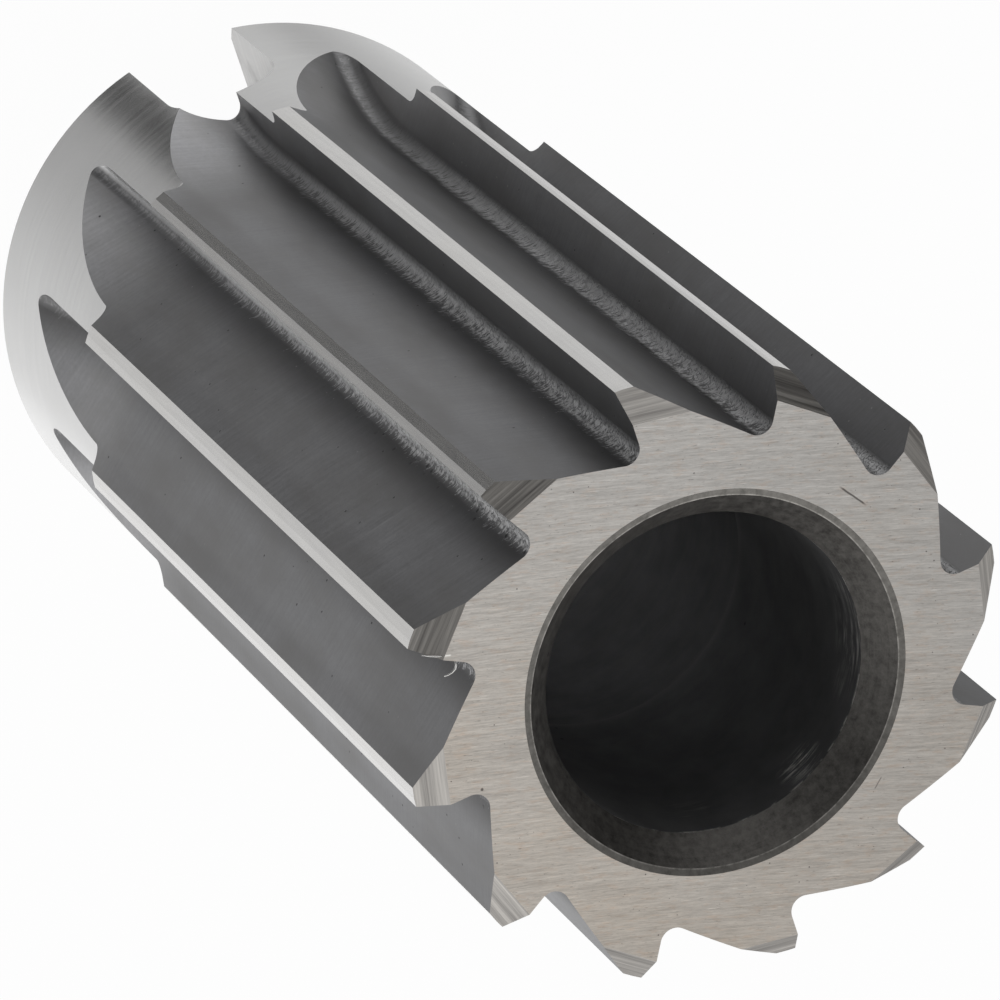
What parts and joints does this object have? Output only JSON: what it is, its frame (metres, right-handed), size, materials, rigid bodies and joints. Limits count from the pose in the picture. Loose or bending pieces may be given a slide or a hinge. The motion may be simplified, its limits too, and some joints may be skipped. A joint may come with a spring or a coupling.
{
  "type": "shell reamer",
  "caption": "Shell reamer with straight flutes, ground lands, a tapered through bore, a plain rear collar and a driving slot across the rear face.",
  "frame": {"origin": "centre of the slotted rear face, on the bore axis", "axes": "+Z along the bore axis towards the cutting end, X along the driving slot"},
  "size_m": [0.035, 0.035, 0.0762],
  "materials": {
    "tool_steel": "ground front face and lands, milled flutes, satin turned collar"
  },
  "bodies": {
    "root": {"reamer_body": "tool_steel"}
  },
  "joints": []
}
